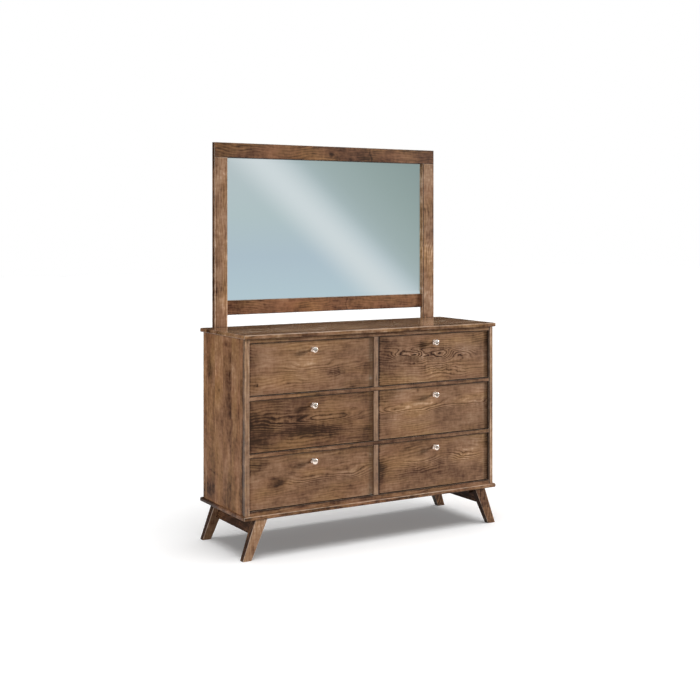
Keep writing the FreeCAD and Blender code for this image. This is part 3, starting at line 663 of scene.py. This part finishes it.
class DRESSER_OT_mirror(bpy.types.Operator):
    """Stain the mirror frame and silver the glass"""

    bl_idname = "dresser.mirror"
    bl_label = "Mirror"

    def execute(self, context):
        bare = context.scene.dresser.bare
        head = (
            (3, -8, 14, 14, -0.25), (128, -28, 18, 9, -0.2), (243, 0, 4, 60, -0.2),
            (-600, 0, 60, 40, 0.06), (-290, 0, 120, 20, 0.06), (380, 0, 120, 20, 0.08),
        )
        sill = (
            (106, 0, 4, 60, -0.2), (120, -20, 16, 14, 0.15), (230, -18, 30, 10, 0.12),
            (330, -8, 20, 12, 0.12),
        )
        edge = {"joint": (6, 0.2), "rub": (1.2, 0.85)}
        stain_board("mirror_top_rail", "xzy", 61.0, tone=-0.16, red=0.25, clouds=head, **edge)
        stain_board(
            "mirror_bottom_rail", "xzy", 63.0, tone=-0.06, red=0.35, clouds=sill, contrast=1.2, **edge)
        # The left post is rubbed in thin lines along its edges; the right one keeps its glaze there
        left_bands = (
            (-420, 33, 250, 3, 0.35), (0, 24, WHOLE, 4, -0.1), (-300, -31, 500, 3, 0.4),
            (0, -24, WHOLE, 4, -0.14),
        )
        right_bands = ((0, -32, WHOLE, 3, -0.5), (0, 30, WHOLE, 4, -0.12))
        # Painted shade darkens the left post's narrow sides, and painted light lightens the right post's
        for number, (column, tone, bands, side_light_and_shade) in enumerate((
            ("left", 0.11, left_bands, -0.1), ("right", 0.08, right_bands, 0.4),
        )):
            stain_board(
                f"mirror_{column}_post", "zxy", 65.0 + number, tone, bands=bands, side_light_and_shade=side_light_and_shade, contrast=1.6,
                **edge)
        stain_board("mirror_supports", "zxy", 68.0, tone=-0.05)
        dress("mirror_glass", silvered_glass("Silvered glass", bare.silver))
        dress("mirror_backing", plain_wood("Hardboard, mirror back", bare.hardboard, "z", 0.05, 0.6))
        return {"FINISHED"}


class DRESSER_OT_boxes(bpy.types.Operator):
    """Finish the drawer boxes and their slides"""

    bl_idname = "dresser.boxes"
    bl_label = "Drawer boxes and slides"

    def execute(self, context):
        bare = context.scene.dresser.bare
        birch = plain_wood("Birch, drawer boxes", bare.birch, "x", 0.1, 0.42)
        steel = plated_metal("Zinc-plated steel, slides", bare.zinc, 0.32, 0.06)
        screws = plated_metal("Zinc-plated steel, screws", bare.zinc, 0.3, 0.05)
        for drawer in DRAWERS:
            dress(f"{drawer}_drawer_box", birch)
            dress(f"{drawer}_slide_drawer_members", steel)
            dress(f"{drawer}_slide_intermediates", steel)
        dress("slide_cabinet_members", steel)
        dress("screws", screws)
        return {"FINISHED"}


def knob_profile(knob, inside):
    """(radius, distance from the drawer's face) from the screw's head, inside, out to the crown."""
    steps = 8
    quarter = [i / steps * math.pi / 2 for i in range(steps + 1)]
    head, rise = knob.screw_head, knob.screw_rise - inside
    profile = [
        (0.0, -inside), (head * 0.7, -inside), (head, knob.screw_rise * 0.4 - inside), (head, rise),
        (knob.shank, rise), (knob.shank, 0.0), (knob.flange, 0.0), (knob.flange, knob.flange_edge),
    ]
    shoulder = knob.flange * 0.9
    hollow = knob.neck_start - knob.flange_edge * 1.35
    profile += [
        (shoulder - (shoulder - knob.neck) * math.sin(turn), knob.neck_start - hollow * math.cos(turn))
        for turn in quarter
    ]
    under = knob.head - knob.rim
    flare = knob.rim_level - knob.rim - knob.neck_end
    profile += [
        (under - (under - knob.neck) * math.cos(turn),
         knob.neck_end + flare * (1 - math.cos(turn)) ** 0.5 * math.sin(turn))
        for turn in quarter
    ]
    for i in range(1, steps):
        turn = -math.pi / 2 + i / steps * math.pi * 0.62
        profile.append((under + knob.rim * math.cos(turn), knob.rim_level + knob.rim * math.sin(turn)))
    edge, start = profile[-1]
    profile += [
        (knob.face + (edge - knob.face) * math.cos(turn), start + (knob.reach - start) * math.sin(turn))
        for turn in quarter[1:]
    ]
    return [*profile, (0.0, knob.reach)]


def turned_mesh(name, profile, place, steps=48):
    """A profile of (radius, distance) spun about a line towards -Y through place; its ends are closed."""
    points, faces, rings = [], [], []
    for radius, distance in profile:
        count = steps if radius else 1
        rings.append(list(range(len(points), len(points) + count)))
        for i in range(count):
            turn = math.tau * i / steps
            offset = Vector((radius * math.cos(turn), -distance, radius * math.sin(turn)))
            points.append(place + offset)
    for near, far in zip(rings, rings[1:]):
        for i in range(steps):
            following = (i + 1) % steps
            if len(near) == 1:
                faces.append((near[0], far[following], far[i]))
            elif len(far) == 1:
                faces.append((near[i], near[following], far[0]))
            else:
                faces.append((near[i], near[following], far[following], far[i]))
    mesh = new_mesh(name, points, faces)
    mesh.shade_smooth()
    mesh.set_sharp_from_angle(angle=math.radians(35))
    return mesh


class DRESSER_OT_knobs(bpy.types.Operator):
    """Turn the six knobs"""

    bl_idname = "dresser.knobs"
    bl_label = "Knobs"

    def execute(self, context):
        settings = context.scene.dresser
        nickel = plated_metal("Satin nickel", settings.bare.nickel, 0.17, 0.04)
        for drawer in DRAWERS:
            node = f"{drawer}_knob"
            low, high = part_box(node)
            face = low.y + settings.knob.reach
            place = Vector(((low.x + high.x) / 2, face, (low.z + high.z) / 2))
            mesh = turned_mesh(node, knob_profile(settings.knob, high.y - face), place)
            knob = new_piece(f"{drawer}_turned_knob", mesh, nickel, f"{drawer}_drawer")
            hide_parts(node)
        return {"FINISHED"}


def stacked_mesh(name, *stacks, top=None):
    """A mesh of closed shapes, each through rings of equal count from the lowest to the highest."""
    points, faces = [], []
    for rings in stacks:
        count, start = len(rings[0]), len(points)
        points += [point for ring in rings for point in ring]
        faces.append(tuple(reversed(range(start, start + count))))
        last = start + count * (len(rings) - 1)
        for low in range(start, last, count):
            for i in range(count):
                j = (i + 1) % count
                faces.append((low + i, low + j, low + count + j, low + count + i))
        faces += top or [tuple(range(last, last + count))]
    return new_mesh(name, points, faces)


def level_ring(angles, radius, level):
    return [(radius * math.cos(a), radius * math.sin(a), level) for a in angles]


# The heads are one unit in radius, or half length, and in height, and stand on z = 0
OCTAGON = [math.tau * i / 8 for i in range(8)]


def screw_head_mesh():
    """A pan head with a cross recess."""
    corners = [math.radians(30 * i - 15) for i in range(12)]
    arm, half_slot, depth = 0.5, 0.13, 0.45
    cross = []
    for quarter in range(4):
        turn = quarter * math.pi / 2
        for x, y in ((arm, -half_slot), (arm, half_slot), (half_slot, half_slot)):
            cross.append((x * math.cos(turn) - y * math.sin(turn), x * math.sin(turn) + y * math.cos(turn)))
    rings = [level_ring(corners, *level) for level in ((1, 0.0), (1, 0.5), (0.72, 1.0))]
    rings += [[(x, y, level) for x, y in cross] for level in (1.0, depth)]
    # The recess's floor is a square and four arms, because one face of that outline isn't convex
    floor = [(50, 53, 56, 59)]
    floor += [(48 + 3 * q, 49 + 3 * q, 50 + 3 * q, 48 + (3 * q - 1) % 12) for q in range(4)]
    return stacked_mesh("Screw head", rings, top=floor)


def nail_head_mesh():
    """A flat nail head with a chamfered rim."""
    return stacked_mesh("Nail head", [level_ring(OCTAGON, *level) for level in ((1, 0), (1, 0.5), (0.75, 1))])


def turn_button_mesh():
    """A flat turn button and its screw."""
    half_width = 0.36
    outline = []
    for i in range(12):
        angle = math.tau * (i + 0.5) / 12
        end = math.copysign(1 - half_width, math.cos(angle))
        outline.append((end + half_width * math.cos(angle), half_width * math.sin(angle)))
    button = [[(x, y, level) for x, y in outline] for level in (0.0, 0.42)]
    screw = [level_ring(OCTAGON, *level) for level in ((0.26, 0.3), (0.26, 0.75), (0.16, 1))]
    return stacked_mesh("Turn button", button, screw)


def make_setter():
    """Sets a head on each point, square to its "facing" and turned by its "turn" and some chance."""
    tree, add, given = new_group(
        "Set fasteners", "GeometryNodeTree",
        {"Points": "Geometry", "Head": "Object", "Radius": "Float", "Height": "Float", "Spread": "Float",
         "Seed": "Int", "Material": "Material"},
        {"Fasteners": "Geometry"})
    head = add("GeometryNodeObjectInfo", {"Object": given["Head"]}, "Geometry")
    facing, turn = (
        add("GeometryNodeInputNamedAttribute", {"Name": name}, "Attribute", data_type=kind)
        for name, kind in (("facing", "FLOAT_VECTOR"), ("turn", "FLOAT")))
    upright = add("FunctionNodeAlignRotationToVector", {"Vector": facing}, axis="Z")
    chance = add(
        "FunctionNodeRandomValue", {2: 0.0, 3: given["Spread"], "Seed": given["Seed"]}, 1, data_type="FLOAT")
    chance = add("Math ADD", (turn, chance))
    spin = add("FunctionNodeEulerToRotation", (add("CombineXYZ", {2: chance}),))
    rotation = add("FunctionNodeRotateRotation", (upright, spin), rotation_space="LOCAL")
    scale = add("CombineXYZ", (given["Radius"], given["Radius"], given["Height"]))
    placed = add(
        "GeometryNodeInstanceOnPoints",
        {"Points": given["Points"], "Instance": head, "Rotation": rotation, "Scale": scale})
    real = add("GeometryNodeRealizeInstances", {"Geometry": placed})
    finished = add("GeometryNodeSetMaterial", {"Geometry": real, "Material": given["Material"]})
    add("NodeGroupOutput", {"Fasteners": finished})
    return tree


def set_heads(name, places, head, size, seed, material, body, spread=math.tau):
    """Set a head, size (radius, height), on each (place, facing, turn), as one mesh that rides on a body."""
    points = new_mesh(f"{name} points", [place for place, facing, turn in places])
    points.attributes.new("facing", "FLOAT_VECTOR", "POINT")
    points.attributes.new("turn", "FLOAT", "POINT")
    for i, (place, facing, turn) in enumerate(places):
        points.attributes["facing"].data[i].vector = facing
        points.attributes["turn"].data[i].value = turn
    holder = new_object(f"{name} points", points)
    pattern = new_object(f"{name} pattern", head)
    tree = bpy.data.node_groups.get("Set fasteners") or make_setter()
    modifier = holder.modifiers.new("Fasteners", "NODES")
    modifier.node_group = tree
    values = {
        "Head": pattern, "Radius": size[0], "Height": size[1], "Spread": spread, "Seed": seed,
        "Material": material,
    }
    for socket in tree.interface.items_tree:
        if socket.name in values:
            modifier[socket.identifier] = values[socket.name]
    evaluated = holder.evaluated_get(bpy.context.evaluated_depsgraph_get())
    mesh = bpy.data.meshes.new_from_object(evaluated)
    mesh.name = name
    holder.modifiers.remove(modifier)
    for obj in (holder, pattern):
        bpy.data.objects.remove(obj)
    return new_piece(name, mesh, material, body)


def evenly(low, high, spacing):
    """Levels from low to high, about one spacing apart."""
    count = max(1, round((high - low) / spacing))
    return [low + (high - low) * i / count for i in range(count + 1)]


class DRESSER_OT_fasteners(bpy.types.Operator):
    """Screw the fronts to their boxes, nail the back panel on and hold the mirror's back with turn buttons"""

    bl_idname = "dresser.fasteners"
    bl_label = "Screws, nails and turn buttons"

    def execute(self, context):
        settings = context.scene.dresser
        sizes = settings.fasteners
        zinc = plated_metal("Zinc-plated steel, small screws", settings.bare.zinc, 0.28, 0.05)
        screw, nail = screw_head_mesh(), nail_head_mesh()
        rearward = (0.0, 1.0, 0.0)
        from_side, from_rim = 0.11, 0.05
        for number, drawer in enumerate(DRAWERS):
            low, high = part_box(f"{drawer}_drawer_box")
            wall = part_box(f"{drawer}_knob")[1].y - settings.knob.screw_rise
            places = [
                ((x, wall, z), rearward, 0.0)
                for x in (low.x + from_side, high.x - from_side)
                for z in (low.z + from_rim, high.z - from_rim)
            ]
            set_heads(
                f"{drawer}_front_screws", places, screw, (sizes.screw, sizes.screw_rise), number, zinc,
                f"{drawer}_drawer")
        low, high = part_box("back_panel")
        margin = 0.009
        across = evenly(low.x + margin, high.x - margin, sizes.nail_spacing)
        up = evenly(low.z + margin, high.z - margin, sizes.nail_spacing)
        spots = [(x, z) for x in across for z in (up[0], up[-1])]
        spots += [(x, z) for z in up[1:-1] for x in (across[0], 0.0, across[-1])]
        set_heads(
            "back_panel_nails", [((x, high.y, z), rearward, 0.0) for x, z in spots], nail,
            (sizes.nail, sizes.nail_rise), 40, zinc, "root")
        low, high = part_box("mirror_backing")
        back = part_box("mirror_left_post")[1].y
        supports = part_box("mirror_supports")[1]
        outside, from_corner, clearance = 0.004, 0.06, 0.05
        across = evenly(low.x + from_corner, high.x - from_corner, sizes.button_spacing)
        up = evenly(supports.z + clearance, high.z - from_corner, sizes.button_spacing)
        upright = math.pi / 2
        places = [
            ((x, back, z), rearward, upright) for x in across for z in (low.z - outside, high.z + outside)]
        places += [((x, back, z), rearward, 0.0) for z in up for x in (low.x - outside, high.x + outside)]
        set_heads(
            "mirror_turn_buttons", places, turn_button_mesh(), (sizes.button, sizes.button_rise), 41, zinc,
            "root", spread=0.2)
        return {"FINISHED"}


def directly_seen(add):
    """1 for what the camera sees, also in a mirror or through glass, and 0 for what lights the room."""
    path = add("LightPath").node.outputs
    seen = add("Math ADD", (path["Is Camera Ray"], path["Is Glossy Ray"]))
    return add("Math ADD", (seen, path["Is Transmission Ray"]), use_clamp=True)


def stage_object(name, mesh, material):
    obj = new_object(name, coated(mesh, material))
    return obj


def sun_lamp(name, towards, strength, spread, floor, state):
    """A broad far lamp that lights either everything but the floor, or the floor alone."""
    lamp = bpy.data.lights.new(name, "SUN")
    lamp.energy = strength
    lamp.angle = math.radians(spread)
    obj = new_object(name, lamp)
    obj.rotation_euler = Vector(towards).to_track_quat("Z", "Y").to_euler()
    group = bpy.data.collections.new(f"{name} reach")
    group.objects.link(floor)
    group.collection_objects[0].light_linking.link_state = state
    obj.light_linking.receiver_collection = group


def curved_wall(name, radius, start, end, height, steps=48):
    """An upright wall round the dresser between two angles, in degrees from the front to the right."""
    points, faces = [], []
    for i in range(steps + 1):
        angle = math.radians(start + (end - start) * i / steps)
        for z in (ABOVE_FLOOR, height):
            points.append((radius * math.sin(angle), -radius * math.cos(angle), z))
        if i:
            faces.append((2 * i - 2, 2 * i, 2 * i + 1, 2 * i - 1))
    return new_mesh(name, points, faces)


def only_reflected(obj):
    for rays in ("camera", "diffuse", "transmission", "shadow"):
        setattr(obj, f"visible_{rays}", False)


class DRESSER_OT_stage(bpy.types.Operator):
    """Set up the floor, the lamps, what the mirror reflects and the camera"""

    bl_idname = "dresser.stage"
    bl_label = "Studio"

    def execute(self, context):
        scene = context.scene
        stage = scene.dresser.stage
        scene.view_settings.view_transform = "Standard"
        camera = bpy.data.cameras.new("Camera")
        camera.lens = stage.lens
        camera.sensor_width = 36
        camera.shift_y = stage.shift
        camera.clip_end = 200
        viewer = new_object("Camera", camera)
        viewer.location = stage.camera_place
        viewer.rotation_euler = (math.pi / 2, 0, stage.camera_turn)
        scene.camera = viewer
        floor = self.make_floor(stage)
        self.make_screen(stage)
        self.make_flags(stage)
        self.make_world(scene)
        sun_lamp("Key light", (0.93, -0.27, 0.22), 5.6, 12, floor, "EXCLUDE")
        sun_lamp("Side light", (-0.90, -0.15, 0.35), 1.75, 45, floor, "EXCLUDE")
        sun_lamp("Shadow light", (0.02, -0.14, 1.0), 2.9, 52, floor, "INCLUDE")
        return {"FINISHED"}

    def make_floor(self, stage):
        """A pale floor that shows white to the camera where nothing shades it."""
        material, add = new_material("Studio floor")
        seen = directly_seen(add)
        dim = [c * 0.4 for c in stage.floor[:3]] + [1.0]
        shade = add("Mix", {0: seen, 6: dim, 7: stage.floor}, 2, data_type="RGBA")
        diffuse = add("BsdfDiffuse", {"Color": shade})
        lift = 0.17
        glow = add("Math MULTIPLY", (seen, lift))
        light = add("Emission", {"Strength": glow})
        add("OutputMaterial", {"Surface": add("AddShader", (diffuse, light))})
        reach = 30.0
        corners = [(-reach, -reach, 0), (reach, -reach, 0), (reach, reach, 0), (-reach, reach, 0)]
        return stage_object("Floor", new_mesh("Floor", corners, [(0, 1, 2, 3)]), material)

    def make_screen(self, stage):
        """The studio's curved screen: seen only in reflections, it gives the mirror its cool gradient."""
        material, add = new_material("Reflected screen")
        point = add("TexCoord", output="Object")
        split = add("SeparateXYZ", (point,)).node.outputs
        toward = add("Math MULTIPLY", (split[1], -1.0))
        turn = add("Math ARCTAN2", (split[0], toward))
        # The glass shows these angles of the screen, left to right, and these heights, top down
        left, right = math.radians(19.7), math.radians(41.2)
        top, bottom = 2.133, 0.843
        aside = add("MapRange", (turn, left, right), clamp=False)
        down = add("MapRange", (split[2], top, bottom))
        near = set_ramp(add, down, (
            (0.0, stage.near_high), (0.4, stage.near_middle), (0.7, stage.near_low),
            (1.0, stage.near_bottom)))
        centre = add("Math MULTIPLY_ADD", (down, 0.67, 0.19))
        offset = add("Math SUBTRACT", (aside, centre))
        far = set_ramp(add, offset, (
            (0.12, stage.far_near), (0.3, stage.far_middle), (0.5, stage.far_aside),
            (0.75, stage.far_edge)))
        beyond = add("MapRange", (offset, -0.05, 0.25), interpolation_type="SMOOTHSTEP")
        distance = add("Math ABSOLUTE", (offset,))
        bright = add("MapRange", (distance, 0.0, 0.23, 1.0, 0.0), interpolation_type="SMOOTHSTEP")
        layers = [(beyond, far), (bright, stage.streak)]
        # Left of what the glass shows lie the room behind the camera and a pale screen, right a lit panel
        for start, end, shown in (
            (4, -6, stage.camera_side), (-48, -58, stage.near_high), (48, 56, stage.panel),
        ):
            layers.append((add("MapRange", (turn, math.radians(start), math.radians(end))), shown))
        layers.append((add("MapRange", (split[2], 0.5, 0.4)), stage.camera_side))
        shade = near
        for amount, shown in layers:
            shade = add("Mix", {0: amount, 6: shade, 7: shown}, 2, data_type="RGBA")
        add("OutputMaterial", {"Surface": add("Emission", {"Color": shade})})
        only_reflected(stage_object("Screen", curved_wall("Screen", 5.0, -90, 90, 4.0), material))

    def make_flags(self, stage):
        """Dark screens seen only in reflections: they dull the top's gloss and draw the knobs' faces."""
        corners = [(-6, 3, ABOVE_FLOOR), (9, 3, ABOVE_FLOOR), (9, 3, 5), (-6, 3, 5)]
        behind = new_mesh("Flag", corners, [(0, 1, 2, 3)])
        low = curved_wall("Low flag", 2.0, 8, 54, 0.8)
        for name, mesh, shade in (("Flag", behind, stage.flag), ("Low flag", low, stage.low_flag)):
            material, add = new_material(f"{name} cloth")
            add("OutputMaterial", {"Surface": add("Emission", {"Color": shade})})
            only_reflected(stage_object(name, mesh, material))

    def make_world(self, scene):
        """White all round, which lights the room more weakly than it shows."""
        world = scene.world or bpy.data.worlds.new("World")
        scene.world = world
        world.use_nodes = True
        world.node_tree.nodes.clear()
        add = partial(add_node, world.node_tree)
        strength = add("MapRange", {"Value": directly_seen(add), "To Min": 0.17, "To Max": 1.0})
        glow = add("Background", {"Color": (1, 1, 1, 1), "Strength": strength})
        add("OutputWorld", {"Surface": glow})


STEPS = (
    DRESSER_OT_case, DRESSER_OT_base, DRESSER_OT_fronts, DRESSER_OT_mirror, DRESSER_OT_boxes,
    DRESSER_OT_knobs, DRESSER_OT_fasteners, DRESSER_OT_stage,
)


class DRESSER_PT_panel(bpy.types.Panel):
    """Lists the steps in the 3D view's sidebar"""

    bl_label = "Dresser"
    bl_space_type = "VIEW_3D"
    bl_region_type = "UI"
    bl_category = "Dresser"

    def draw(self, context):
        for step in STEPS:
            self.layout.operator(step.bl_idname)


CLASSES = (
    DRESSER_PG_stain, DRESSER_PG_bare, DRESSER_PG_knob, DRESSER_PG_fasteners, DRESSER_PG_stage,
    DRESSER_PG_settings, *STEPS, DRESSER_PT_panel,
)


def register():
    for cls in CLASSES:
        bpy.utils.register_class(cls)
    bpy.types.Scene.dresser = PointerProperty(type=DRESSER_PG_settings)


def unregister():
    del bpy.types.Scene.dresser
    for cls in reversed(CLASSES):
        bpy.utils.unregister_class(cls)


def main():
    register()
    for step in STEPS:
        family, name = step.bl_idname.split(".")
        getattr(getattr(bpy.ops, family), name)()


if __name__ == "__main__":
    main()
